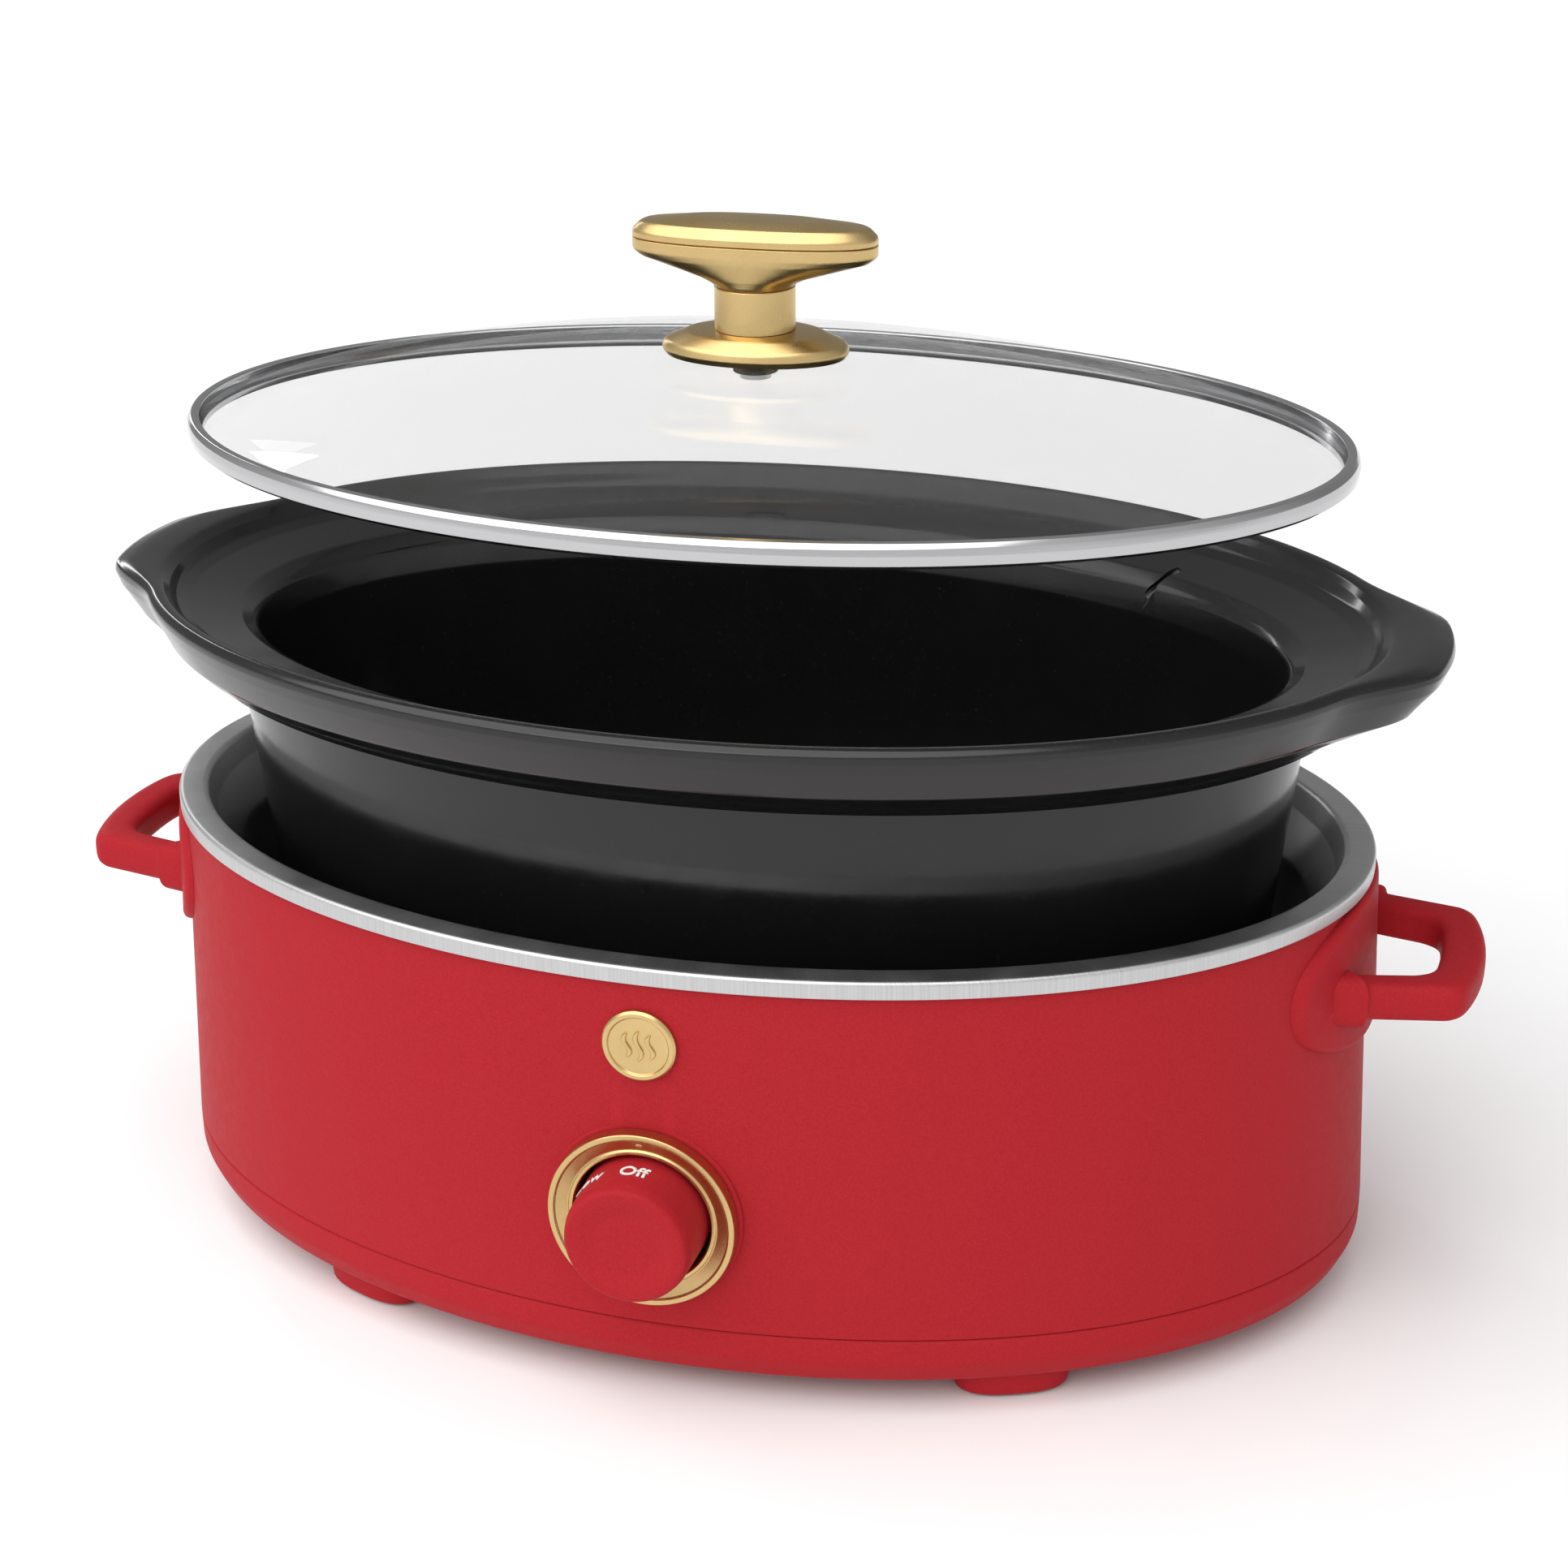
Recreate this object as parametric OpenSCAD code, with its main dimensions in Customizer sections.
// Oval slow cooker: heated base with a rotary dial, a lift-out stoneware crock and a glass lid.
// Millimetres, +Z up, the dial faces -Y. The origin is on the table, under the middle of the base.
// The crock and the lid are drawn raised above their seats by crock_up and lid_up.

/* [Base] */
// Half-length of the metal rim
rim_a = 187; // [175:1:200]
// Half-depth of the metal rim
rim_b = 124; // [118:1:135]
// Height of the rim's top above the table
rim_top = 140.5; // [135:0.5:150]
// Width of the flat metal rim
rim_w = 8.5; // [7:0.5:10]
// Height of the seam between the housing and the bottom cover
seam_z = 26; // [24:0.5:28]
// Height of the feet
foot_h = 8; // [7:0.5:9]
// Wall thickness of the red plastic
wall = 2.6; // [2:0.1:3]

/* [Dial] */
// Height of the dial's axis
dial_z = 62.5; // [58:0.5:66]
// Radius of the knob
knob_r = 19; // [17:0.5:19.5]
// Distance of the knob's face from the middle of the cooker
knob_face_y = 141.5; // [138:0.5:144]
// Radius of the gold ring round the knob
bezel_r = 27.5; // [26:0.5:29]

/* [Handles] */
// Reach of the handle's grip from the middle of the cooker
handle_reach = 221; // [214:1:226]
// Half-width of the handle loop where it meets the wall
handle_half = 34.5; // [32:0.5:38]
// Height of the handle's lower face
handle_z = 103; // [100:1:106]
// Height of the handle's bar
handle_h = 12; // [10:0.5:14]

/* [Crock] */
// Half-length of the crock's lip
lip_a = 191; // [190.5:0.5:192]
// Half-depth of the crock's lip
lip_b = 128; // [127.5:0.5:129]
// Reach of each crock lug beyond the lip
lug_reach = 13.6; // [10:0.1:18]
// Depth of the crock below its step
crock_depth = 101.8; // [95:0.2:102]
// Height of the crock above its seat as drawn
crock_up = 46; // [0:1:104]

/* [Lid] */
// Half-length of the lid's steel ring
lid_a = 173.8; // [173:0.1:175.5]
// Half-depth of the lid's steel ring
lid_b = 113.5; // [112:0.5:114]
// Height of the glass dome above the underside of the ring
dome_h = 26.2; // [18:0.1:28]
// Height of the lid above its seat as drawn
lid_up = 51.3; // [0:0.1:60]

/* [Hidden] */

SIDES = 60;                         // flats round every large oval
RED = [0.70, 0.09, 0.12];
GOLD = [0.80, 0.66, 0.38];
STEEL = [0.75, 0.76, 0.77];
BLACK = [0.07, 0.07, 0.075];

wall_b = rim_b - 1.5;               // outer face of the housing
flare = 6.2;                        // how much longer the housing is at its lower edge
base_a = rim_a - 2.4 + flare;
liner_t = 1.2;
floor_z = 30;                       // top of the liner's floor
cover_floor = foot_h + 2.5;
step_z = rim_top - 1.7;             // crock's step when the crock is seated
crock_seat = 16.2;                  // lid seat above the crock's step
lid_z = step_z + crock_up + crock_seat + lid_up;
dome_top = lid_z + dome_h;
bore_gap = 0.05;                    // radial clearance of a turning shaft
shaft_r = 3;
band_lo = 42;                       // heating band's height range
band_hi = 92;
post_x = 166;                       // cover screw posts
post_y = 25;
foot_x = 99;
foot_y = 86;
foot_turn = 22.5;
handle_screw_y = 28;
handle_screw_z = handle_z + handle_h / 2;
gland_z = 36;
cord_r = 3.7;
switch_half = 14.5;
switch_front = 116.4;
switch_back = 107;
switch_post_x = 28;
spigot_r = 20.9;                    // the gold ring's fit in the housing
dot_up = 24;                        // indicator dot above the dial's axis
badge_z = 116.5;
pad_h = 1.2;                        // how far the rubber stands out below the feet
pad_mid = 111.6;                    // middle height of a handle's pad
seam_h = seam_z - foot_h;
shield_z = 19;
stem_r = 11.7;
liner_lo = 46;                      // straight stretch of the well's wall
liner_hi = rim_top - 21.2;
strap_heights = [band_lo, band_hi - 6];

function strap_screw_y(z) = rim_b - liner_inset(z) + 8.6;

// One point of an oval. n = 2 is an ellipse and larger values are squarer.
function oval_point(a, b, t, n) =
    [a * sign(cos(t)) * pow(abs(cos(t)), 2 / n), b * sign(sin(t)) * pow(abs(sin(t)), 2 / n)];
function oval(a, b, n = 2, sides = SIDES) =
    [for (i = [0 : sides - 1]) oval_point(a, b, 360 * i / sides, n)];
// Share of the lug's reach at a distance y from the long axis.
function lug_share(y) =
    let (flat = 20, fade = 30, s = min(max((abs(y) - flat) / fade, 0), 1)) (1 + cos(180 * s)) / 2;
// A ring of the crock's outline, drawn out by k of a lug at both ends.
function lug_ring(a, b, z, k) =
    [for (p = oval(a, b)) [p[0] + sign(p[0]) * k * lug_reach * lug_share(p[1]), p[1], z]];
function flat_ring(a, b, z, n = 2, sides = SIDES) =
    [for (p = oval(a, b, n, sides)) [p[0], p[1], z]];

// Half-length of the housing at a height. Its half-depth is wall_b all the way down.
function wall_a_at(z) = rim_a - 2.4 + flare * (rim_top - z) / (rim_top - seam_z);
function wall_ring(inset, z) = flat_ring(wall_a_at(z) - inset, wall_b - inset, z);

// Solid through a stack of rings, closed by a flat face at each end.
module ring_stack(rings) {
    n = len(rings[0]);
    m = len(rings);
    sides = [for (j = [0 : m - 2], i = [0 : n - 1])
        [j * n + i, (j + 1) * n + i, (j + 1) * n + (i + 1) % n, j * n + (i + 1) % n]];
    first = [[for (i = [0 : n - 1]) i]];
    last = [[for (i = [n - 1 : -1 : 0]) (m - 1) * n + i]];
    polyhedron([for (r = rings) each r], concat(first, sides, last), convexity = 8);
}

// Solid through a closed loop of rings, like a tyre.
module ring_loop(rings) {
    n = len(rings[0]);
    m = len(rings);
    faces = [for (j = [0 : m - 1], i = [0 : n - 1])
        [j * n + i, ((j + 1) % m) * n + i, ((j + 1) % m) * n + (i + 1) % n, j * n + (i + 1) % n]];
    polyhedron([for (r = rings) each r], faces, convexity = 8);
}

// Block inside the housing's face, or grown out of it.
module wall_block(grow, z0, z1) {
    ring_stack([wall_ring(-grow, z0), wall_ring(-grow, z1)]);
}

module oval_block(a, b, z0, z1) {
    translate([0, 0, z0])
    linear_extrude(z1 - z0)
    polygon(oval(a, b));
}

// Puts its children on the dial's axis, with their +Z pointing out of the front.
module on_dial(y = 0) {
    translate([0, -y, dial_z])
    rotate([90, 0, 0])
    children();
}

module four_corners(x, y) {
    for (sx = [-1, 1], sy = [-1, 1])
        translate([sx * x, sy * y, 0]) children();
}

module screw(head_r, head_h, shank_r, length) {
    cylinder(r = head_r, h = head_h, $fn = 32);
    translate([0, 0, head_h]) cylinder(r = shank_r, h = length, $fn = 24);
}

// ---- Base ----

// Rib and tube that a cover screw goes into.
module screw_post() {
    translate([post_x, post_y, 14.2]) cylinder(r = 5.5, h = 22, $fn = 40);
    translate([post_x, post_y - 1.5, seam_z + 0.4]) cube([24, 3, 9.8]);
}

module housing_shell() {
    color(RED)
    difference() {
        union() {
            ring_loop([
                wall_ring(0, seam_z + 0.3), wall_ring(0, rim_top - 1.6),
                wall_ring(wall, rim_top - 1.6), wall_ring(wall, seam_z + 0.3)
            ]);
            // flat pad behind the dial's ring
            difference() {
                on_dial(wall_b - 2) cylinder(r = bezel_r + 1.2, h = 2, $fn = 96);
                wall_block(-1, 0, rim_top);
            }
            for (x = [-switch_post_x, switch_post_x])
                translate([x, -wall_b + 2.2, dial_z]) rotate([-90, 0, 0]) cylinder(r = 3.5, h = 7, $fn = 32);
            intersection() {
                for (sx = [0, 1], sy = [0, 1]) mirror([sx, 0, 0]) mirror([0, sy, 0]) screw_post();
                wall_block(-1, 0, rim_top);
            }
        }
        on_dial(wall_b - 7) cylinder(r = spigot_r + 0.1, h = 12, $fn = 96);
        for (x = [-switch_post_x, switch_post_x])
            translate([x, -wall_b + 4, dial_z]) rotate([-90, 0, 0]) cylinder(r = 1.25, h = 9, $fn = 24);
        four_corners(post_x, post_y) translate([0, 0, 13]) cylinder(r = 1.7, h = 20, $fn = 24);
        for (sx = [-1, 1], sy = [-1, 1])
            translate([sx * 160, sy * handle_screw_y, handle_screw_z])
            rotate([0, sx * 90, 0]) cylinder(r = 2.4, h = 30, $fn = 32);
        // six-sided, so that the gland's nut has flats beside it
        translate([0, wall_b - 10, gland_z]) rotate([-90, 30, 0]) cylinder(r = 9.35, h = 20, $fn = 6);
    }
}

module feet(a, b, z0, z1) {
    for (sx = [-1, 1], sy = [-1, 1])
        translate([sx * foot_x, sy * foot_y, z0])
        rotate([0, 0, -sx * sy * foot_turn])
        linear_extrude(z1 - z0) polygon(oval(a, b, 2.6, 40));
}

module bottom_cover() {
    // inset from the housing's face and height above the underside
    profile = [
        [10, 0], [6, 0.7], [2.9, 2.6], [0.8, 5.8], [0, 9.5], [0, seam_h - 0.5], [0.5, seam_h],
        [wall, seam_h], [wall, 10.4], [3.4, 7], [5.2, 4.6], [8, 2.9], [12, 2.5]
    ];
    color(RED)
    difference() {
        union() {
            ring_stack([for (p = profile) flat_ring(base_a - p[0], wall_b - p[0], foot_h + p[1])]);
            feet(17, 10, pad_h, foot_h + 0.5);
            four_corners(post_x, post_y) translate([0, 0, foot_h + 0.4]) cylinder(r = 5.5, h = 5.6, $fn = 40);
        }
        four_corners(post_x, post_y) translate([0, 0, foot_h - 1]) cylinder(r = 3.6, h = 3.8, $fn = 32);
        four_corners(post_x, post_y) translate([0, 0, foot_h]) cylinder(r = 1.9, h = 9, $fn = 24);
        translate([0, 0, foot_h - 1]) cylinder(r = 3.4, h = 6, $fn = 32);
        feet(14.2, 7.2, 0, pad_h + 1);
        for (sx = [-1, 1], i = [-3 : 3])
            translate([sx * 45 - 14, i * 9 - 1.25, foot_h - 1]) cube([28, 2.5, 6]);
    }
}

module foot_pads() {
    color(BLACK) feet(14, 7, 0, pad_h + 1);
}

module liner() {
    // inset from the rim's edge and height: up the outside, over the rim and down the inside
    outside = [
        [35.4, floor_z - liner_t], [27.8, floor_z + 2.1], [23.7, floor_z + 8.6], [22.2, liner_lo],
        [17.2, liner_hi], [14.3, rim_top - 13.6], [10.7, rim_top - 7.6], [8.6, rim_top - 3],
        [8, rim_top - 1.3], [1.5, rim_top - 1.3], [1.2, rim_top - 1.8], [1.2, rim_top - 5.3],
        [0, rim_top - 5.3], [0, rim_top - 1.9], [0.5, rim_top - 0.6], [1.8, rim_top]
    ];
    inside = [
        [rim_w - 0.9, rim_top], [rim_w + 0.1, rim_top - 0.5], [rim_w + 0.9, rim_top - 2.4],
        [12, rim_top - 7], [15.4, rim_top - 13], [18.4, rim_top - 21], [23.4, liner_lo],
        [24.8, floor_z + 9], [28.6, floor_z + 3], [35, floor_z]
    ];
    color(STEEL)
    ring_stack([for (p = concat(outside, inside)) flat_ring(rim_a - p[0], rim_b - p[0], p[1])]);
}

// Inset of the well's outer face at a height.
function liner_inset(z) = 22.2 - 5 * (z - liner_lo) / (liner_hi - liner_lo);

// Sleeve that follows the well's tapered wall, from gap to gap + t outside it.
module sleeve(gap, t, z0, z1) {
    ring_loop([
        for (p = [[gap + t, z0], [gap + t, z1], [gap, z1], [gap, z0]])
            let (d = liner_inset(p[1]) - p[0]) flat_ring(rim_a - d, rim_b - d, p[1])
    ]);
}

// Cuts the front of a sleeve open by a width.
module open_front(width) {
    difference() {
        children();
        translate([-width / 2, -rim_b, 0]) cube([width, 60, rim_top]);
    }
}

module heating_band() {
    color([0.62, 0.58, 0.5]) open_front(16) sleeve(0.15, 1.6, band_lo + 6, band_hi - 4);
}

module insulation_wrap() {
    color([0.93, 0.92, 0.88]) open_front(70) sleeve(1.9, 3, band_lo - 1, band_hi + 4);
}

module strap(z) {
    sleeve(5, 0.6, z, z + 5);
    back = rim_b - liner_inset(z) + 5.5;
    for (x = [-7, 6]) translate([x, back, z]) cube([1, 6, 5]);
}

module band_straps() {
    color(STEEL)
    difference() {
        for (z = strap_heights) strap(z);
        for (z = strap_heights)
            translate([-12, strap_screw_y(z), z + 2.5]) rotate([0, 90, 0]) cylinder(r = 1.35, h = 24, $fn = 24);
        for (z = strap_heights) translate([-6, rim_b - 25, z - 1]) cube([12, 12, 7]);
    }
}

module strap_screws() {
    color(STEEL)
    for (z = strap_heights)
        translate([-9.1, strap_screw_y(z), z + 2.5]) rotate([0, 90, 0]) screw(2.2, 2, 1.3, 17);
}

module thermal_fuse() {
    color([0.85, 0.85, 0.8])
    translate([40, 20, floor_z - liner_t - 2.5]) {
        rotate([0, 90, 0]) cylinder(r = 2.2, h = 14, $fn = 32);
        translate([-5, 0, 0]) rotate([0, 90, 0]) cylinder(r = 0.6, h = 24, $fn = 16);
    }
}

module fuse_clip() {
    color(STEEL)
    translate([44, 20, floor_z - liner_t - 0.1])
    rotate([90, 0, 90])
    linear_extrude(6)
    difference() {
        polygon([[-7, 0], [-7, -0.6], [-3, -0.6], [-3, -5.4], [3, -5.4], [3, -0.6], [7, -0.6], [7, 0]]);
        translate([-2.4, -4.8]) square([4.8, 6]);
    }
}

module heat_shield() {
    color(STEEL)
    difference() {
        oval_block(120, 66, shield_z, shield_z + 0.6);
        translate([0, 0, shield_z - 1]) cylinder(r = 3.2, h = 3, $fn = 32);
    }
}

module center_stud() {
    color(STEEL) {
        translate([0, 0, floor_z - liner_t - 1]) cylinder(r = 8, h = 1, $fn = 48);
        translate([0, 0, 4]) cylinder(r = 3, h = floor_z - liner_t - 4.5, $fn = 32);
    }
}

module stud_nut() {
    color(STEEL)
    difference() {
        translate([0, 0, foot_h - 3]) cylinder(r = 5.5, h = 2.9, $fn = 6);
        translate([0, 0, foot_h - 4]) cylinder(r = 3, h = 6, $fn = 32);
    }
}

module shield_spacer() {
    color([0.85, 0.83, 0.78])
    difference() {
        translate([0, 0, shield_z + 0.65]) cylinder(r = 6, h = floor_z - liner_t - 1.7 - shield_z, $fn = 48);
        translate([0, 0, shield_z]) cylinder(r = 3.1, h = 20, $fn = 32);
    }
}

module switch_body() {
    color(BLACK)
    difference() {
        union() {
            translate([-switch_half, -switch_front, dial_z - switch_half])
                cube([2 * switch_half, switch_front - switch_back, 2 * switch_half]);
            translate([-switch_post_x - 4, -112.6, dial_z - 5]) cube([2 * switch_post_x + 8, 1.6, 10]);
        }
        on_dial(switch_back + 1.5) cylinder(r = shaft_r + bore_gap, h = 20, $fn = 48);
        for (x = [-switch_post_x, switch_post_x])
            translate([x, -114, dial_z]) rotate([-90, 0, 0]) cylinder(r = 1.5, h = 5, $fn = 24);
    }
}

module switch_screws() {
    color(STEEL)
    for (x = [-switch_post_x, switch_post_x])
        translate([x, -108.9, dial_z]) rotate([90, 0, 0]) screw(2.8, 2, 1.2, 6.5);
}

module terminal_block() {
    color([0.9, 0.88, 0.82])
    difference() {
        translate([-15, 84, cover_floor + 0.1]) cube([30, 12, 11]);
        for (x = [-9, 0, 9]) {
            translate([x, 90, cover_floor + 6]) cylinder(r = 2.3, h = 9, $fn = 24);
            translate([x, 80, cover_floor + 4]) rotate([-90, 0, 0]) cylinder(r = 1.5, h = 20, $fn = 24);
        }
    }
}

module terminal_screws() {
    color(STEEL)
    for (x = [-9, 0, 9]) translate([x, 90, cover_floor + 6]) cylinder(r = 2.1, h = 3.5, $fn = 24);
}

function unit(v) = v / norm(v);
// Direction of a route at its point i.
function heading(route, i) =
    unit((i > 0 ? unit(route[i] - route[i - 1]) : [0, 0, 0])
        + (i < len(route) - 1 ? unit(route[i + 1] - route[i]) : [0, 0, 0]));

// Round wire along a route, with a mitre at each bend.
module wire(route, r) {
    ring_stack([
        for (i = [0 : len(route) - 1])
            let (d = heading(route, i), u = unit(cross(d, [1, 0.2, 0.1])), v = cross(d, u))
                [for (t = [0 : 30 : 330]) route[i] + r * (cos(t) * u + sin(t) * v)]
    ]);
}

module wiring() {
    z = cover_floor + 4;
    color([0.85, 0.85, 0.82]) {
        wire([[-9, 86, z], [-9, 81, z], [-46, 50, 14], [-60, -50, 14], [-30, -96, 18],
            [-10, -112, 34], [-10, -112, dial_z - switch_half]], 1.2);
        wire([[9, 86, z], [9, 80, z], [24, 78, 17], [34, 92, 21], [30, 103.5, 30], [30, 105.3, band_lo - 2]], 1.2);
    }
}

module cord_gland() {
    // radius and distance from the middle of the cooker
    profile = [
        [cord_r, 112.8], [8, 112.8], [8, wall_b + 0.1], [11, wall_b + 0.1], [11, wall_b + 1.8],
        [10, wall_b + 2.6], [7.6, wall_b + 2.8], [6, wall_b + 14], [5.4, wall_b + 14.5], [cord_r, wall_b + 14.5]
    ];
    color(BLACK)
    translate([0, 0, gland_z]) rotate([-90, 0, 0]) rotate_extrude($fn = 64) polygon(profile);
}

module gland_nut() {
    color(BLACK)
    translate([0, 119.4, gland_z]) rotate([90, 30, 0])
    difference() {
        cylinder(r = 11.5, h = 4, $fn = 6);
        translate([0, 0, -1]) cylinder(r = 8.05, h = 6, $fn = 64);
    }
}

// Outline seen from above that runs from the wall out to a bowed end, drawn in by an inset.
function loop_ring(root_y, end_y, end_x, bow, round, inset, z) =
    [for (p = concat(
        [[rim_a - 37, -root_y + inset]],
        [for (k = [-1 : 0.125 : 1]) [end_x - bow * k * k - round * pow(abs(k), 8) - inset, (end_y - inset) * k]],
        [[rim_a - 37, root_y - inset]]
    )) [p[0], p[1], z]];
function handle_ring(inset, z) =
    loop_ring(handle_half + 7, 0.83 * handle_half, handle_reach, 5, 0, inset, z);
function opening_ring(inset, z) =
    loop_ring(handle_half - 1.7, 0.83 * handle_half - 7.3, handle_reach - 13, 2, 7, inset, z);

module handle() {
    edge = 2;
    past = 0.2;
    top = handle_z + handle_h;
    color(RED)
    difference() {
        union() {
            // pad that follows the wall
            intersection() {
                wall_block(3.2, 80, rim_top - 5.4);
                translate([100, 0, pad_mid]) rotate([90, 0, 90]) linear_extrude(120) polygon(oval(50.5, 23.4, 2.4));
            }
            difference() {
                ring_stack([
                    handle_ring(edge, handle_z), handle_ring(0, handle_z + edge),
                    handle_ring(0, top - edge), handle_ring(edge, top)
                ]);
                ring_stack([
                    opening_ring(-edge - past, handle_z - past), opening_ring(0, handle_z + edge),
                    opening_ring(0, top - edge), opening_ring(-edge - past, top + past)
                ]);
            }
        }
        wall_block(0.12, 60, 160);
        for (y = [-handle_screw_y, handle_screw_y])
            translate([150, y, handle_screw_z]) rotate([0, 90, 0]) cylinder(r = 2.05, h = 49, $fn = 24);
    }
}

module handle_left() {
    mirror([1, 0, 0]) handle();
}

module handle_right() {
    handle();
}

module handle_screws() {
    color(STEEL)
    for (sx = [-1, 1], sy = [-1, 1])
        translate([sx * 174.2, sy * handle_screw_y, handle_screw_z])
        rotate([0, sx * 90, 0]) screw(3.8, 2.6, 2, 21);
}

module cover_screws() {
    color(STEEL)
    four_corners(post_x, post_y) translate([0, 0, foot_h + 0.3]) screw(3.3, 2.4, 1.65, 18);
}

// ---- Dial ----

module dial_bezel() {
    front = wall_b + 4.6;
    // a dish with a raised outer edge and a small lip round the knob
    profile = [
        [20.2, 116.6], [spigot_r, 116.6], [spigot_r, wall_b + 0.05], [bezel_r - 0.4, wall_b + 0.05],
        [bezel_r, wall_b + 0.6], [bezel_r, front - 0.5], [bezel_r - 0.4, front], [bezel_r - 1.4, front],
        [bezel_r - 2, front - 0.5], [22, front - 2.2], [21.6, front - 1.7], [20.7, front - 1.6], [20.2, front - 2.1]
    ];
    color(GOLD)
    difference() {
        translate([0, 0, dial_z]) rotate([90, 0, 0]) rotate_extrude($fn = 128) polygon(profile);
        translate([0, -front + 3, dial_z + dot_up]) rotate([90, 0, 0]) cylinder(r = 1.2, h = 6, $fn = 32);
    }
}

module indicator_dot() {
    color(GOLD)
    translate([0, -wall_b - 1.7, dial_z + dot_up]) rotate([90, 0, 0]) cylinder(r = 1.15, h = 2, $fn = 32);
}

module front_badge() {
    // plain round medallion with a raised edge and a raised middle
    profile = [
        [0, 0], [10.4, 0], [10.8, 0.4], [10.8, 1.6], [10.2, 2], [9.1, 2], [8.5, 1.3], [5.2, 1.3], [4.6, 1.9], [0, 2.1]
    ];
    color(GOLD)
    translate([0, -wall_b - 0.05, badge_z]) rotate([90, 0, 0]) rotate_extrude($fn = 96) polygon(profile);
}

module dial_knob() {
    back = 118.6;
    profile = [
        [shaft_r + 0.02, back], [knob_r - 1.4, back], [knob_r, back + 1.2], [knob_r - 0.6, knob_face_y - 3],
        [knob_r - 1.3, knob_face_y - 1.1], [knob_r - 2.8, knob_face_y], [knob_r - 5, knob_face_y - 0.1],
        [knob_r - 9, knob_face_y - 0.7], [0, knob_face_y - 1.2], [0, 134], [shaft_r + 0.02, 134]
    ];
    color(RED)
    translate([0, 0, dial_z]) rotate([90, 0, 0]) rotate_extrude($fn = 128) polygon(profile);
}

module dial_shaft() {
    color(STEEL) on_dial(109) cylinder(r = shaft_r, h = 24.9, $fn = 48);
}

module shaft_clip() {
    color(STEEL)
    on_dial(117.7)
    difference() {
        cylinder(r = 5, h = 0.6, $fn = 48);
        translate([0, 0, -1]) cylinder(r = shaft_r, h = 3, $fn = 48);
    }
}

// ---- Crock ----

module crock() {
    d = crock_depth;
    // inset from the lip, height above the step and share of the lug's reach
    profile = [
        [52, -d, 0], [44, 1 - d, 0], [39, 4.2 - d, 0], [36.4, 9 - d, 0], [35, 16 - d, 0],
        [26.6, -6, 0], [26, 0, 0], [14, 0, 0], [12.2, 2.1, 0], [8.6, 4.6, 0.3],
        [5.4, 8, 0.75], [3.4, 12, 1], [1.8, 16, 1], [0.6, 19.2, 1], [0, 21.2, 0.97],
        [0.5, 22.8, 0.85], [2.2, 23.6, 0.6], [4.6, 23.6, 0.2], [6.4, 22.6, 0],
        [7.6, 20.4, 0], [9, 18, 0], [13, 15.8, 0], [28, 12.4, 0], [31.6, 10.4, 0],
        [34, 7, 0], [35, 2, 0], [43, 22 - d, 0], [44.5, 15 - d, 0], [48, 10.5 - d, 0], [56, 8.3 - d, 0]
    ];
    color(BLACK)
    translate([0, 0, step_z + crock_up])
    difference() {
        ring_stack([for (p = profile) lug_ring(lip_a - p[0], lip_b - p[0], p[1], p[2])]);
        // short groove over the edge of the ledge, at the back right
        translate([107, 68, 6.4]) rotate([0, 58, 40]) cylinder(r = 1.9, h = 14, $fn = 4);
    }
}

// ---- Lid ----

// Height of the dome's upper face at a share k of the way from the middle to the edge.
function dome(k) = 6.2 + (dome_h - 6.2) * (1 - pow(max(k - 0.2, 0) / 0.765, 2.1));

module lid_glass() {
    glass_t = 3.7;
    a = lid_a - 1.4;
    b = lid_b - 1.4;
    steps = [0.2, 0.36, 0.52, 0.67, 0.8, 0.9, 0.965];
    under = [for (k = steps) [k, dome(k) - glass_t]];
    over = [for (i = [len(steps) - 1 : -1 : 0]) [steps[i], dome(steps[i])]];
    color([0.8, 0.9, 0.95, 0.35])
    translate([0, 0, lid_z])
    difference() {
        ring_stack([for (p = concat(under, [[1, 6.2 - glass_t], [1, 6.2]], over)) flat_ring(a * p[0], b * p[0], p[1])]);
        cylinder(r = 3.4, h = dome_h + 5, $fn = 32);
    }
}

module lid_ring() {
    profile = [
        [0.4, 0], [0, 0.7], [0, 6.1], [0.9, 7], [3.6, 7], [3.9, 6.7], [3.9, 6.35], [1.3, 6.35],
        [1.3, 2.35], [4.6, 2.35], [4.6, 0.6], [4.2, 0]
    ];
    color(STEEL)
    ring_loop([for (p = profile) flat_ring(lid_a - p[0], lid_b - p[0], lid_z + p[1])]);
}

module knob_washer() {
    color(BLACK)
    translate([0, 0, dome_top - 4.55])
    difference() {
        cylinder(r = 6.5, h = 0.8, $fn = 48);
        translate([0, 0, -1]) cylinder(r = 3, h = 3, $fn = 32);
    }
}

// Hole for the lid's screw, down the middle of a knob part.
module screw_bore() {
    difference() {
        children();
        translate([0, 0, dome_top - 1]) cylinder(r = 2.6, h = 26, $fn = 32);
    }
}

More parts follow.
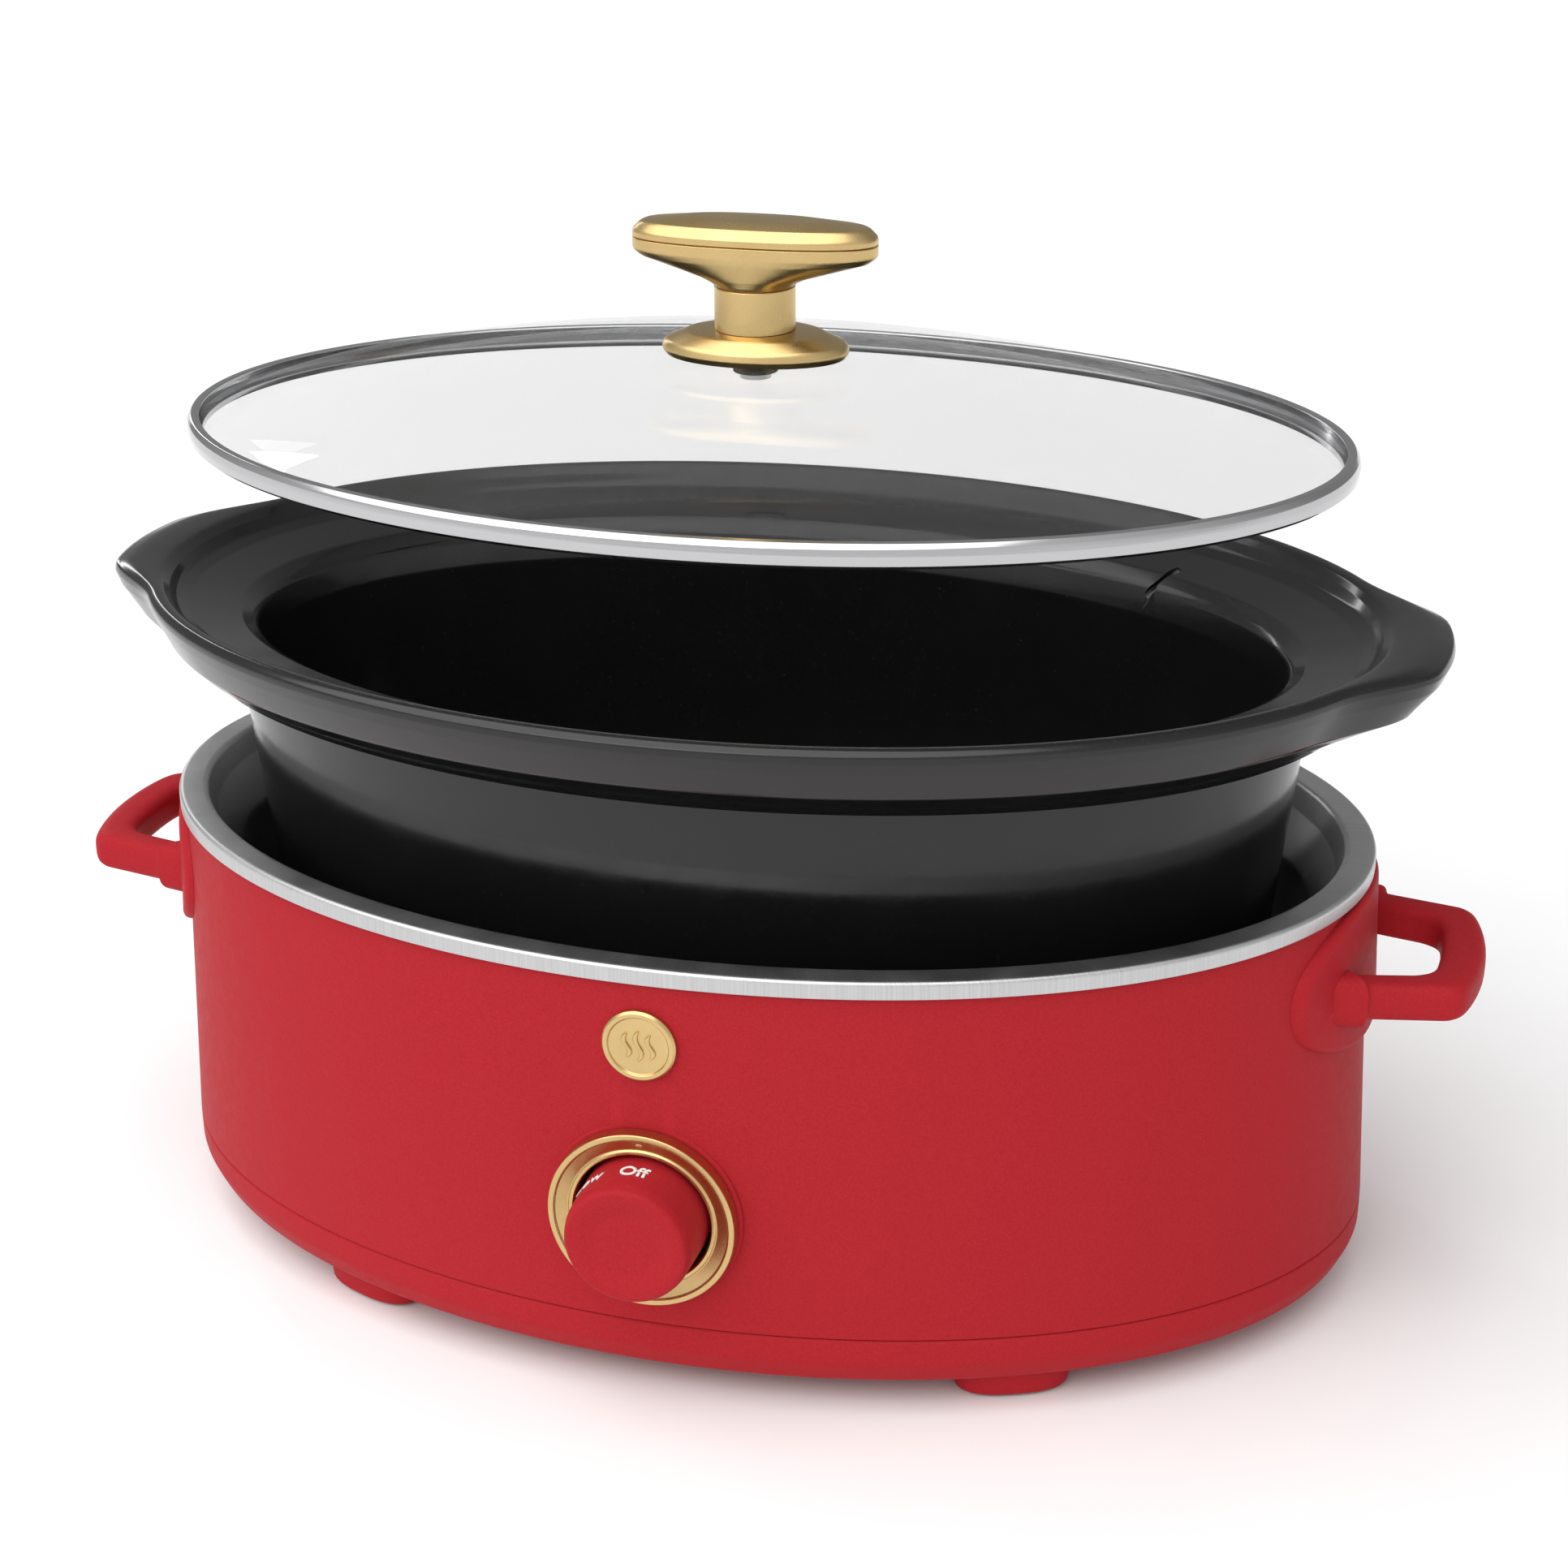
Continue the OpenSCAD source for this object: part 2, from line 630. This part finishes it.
module knob_flange() {
    profile = [
        [26.2, 16.6, 0.05], [27.8, 18, 1.7], [27.6, 17.8, 3.2], [25.6, 16.4, 5], [21, 14.4, 6.8],
        [16, 13, 7.7], [14, 12.6, 7.9]
    ];
    color(GOLD)
    screw_bore()
    ring_stack([for (p = profile) flat_ring(p[0], p[1], dome_top + p[2], 2, 40)]);
}

module knob_stem() {
    color(GOLD) screw_bore() translate([0, 0, dome_top + 7.95]) cylinder(r = stem_r, h = 12.5, $fn = 96);
}

module grip_base() {
    // half-length, half-depth, height and squareness
    profile = [
        [stem_r, stem_r, 20.5, 2], [12.8, 12, 21.6, 2], [16.6, 12.4, 23.4, 2.1], [24.6, 12.7, 25.9, 2.2],
        [33, 12.9, 28, 2.3], [35.7, 13, 29, 2.4], [36, 13, 29.7, 2.4], [36, 13, 33.2, 2.4]
    ];
    color(GOLD)
    screw_bore()
    ring_stack([for (p = profile) flat_ring(p[0], p[1], dome_top + p[2], p[3], 40)]);
}

module grip_cap() {
    profile = [
        [35.7, 12.7, 33.25], [36, 13, 33.6], [36, 13, 34.8], [35.2, 12.3, 36.4], [32.4, 10.6, 37.9],
        [26, 8, 39], [16, 5, 39.6], [6, 2.5, 39.8]
    ];
    color(GOLD)
    ring_stack([for (p = profile) flat_ring(p[0], p[1], dome_top + p[2], 2.4, 40)]);
}

module lid_screw() {
    color(STEEL) translate([0, 0, dome_top - 6.4]) screw(4.6, 1.8, 2.5, 28);
}

housing_shell();
bottom_cover();
foot_pads();
liner();
heating_band();
insulation_wrap();
band_straps();
strap_screws();
thermal_fuse();
fuse_clip();
heat_shield();
center_stud();
stud_nut();
shield_spacer();
switch_body();
switch_screws();
terminal_block();
terminal_screws();
wiring();
cord_gland();
gland_nut();
handle_left();
handle_right();
handle_screws();
cover_screws();
dial_bezel();
indicator_dot();
front_badge();
dial_knob();
dial_shaft();
shaft_clip();
crock();
lid_glass();
lid_ring();
knob_washer();
knob_flange();
knob_stem();
grip_base();
grip_cap();
lid_screw();
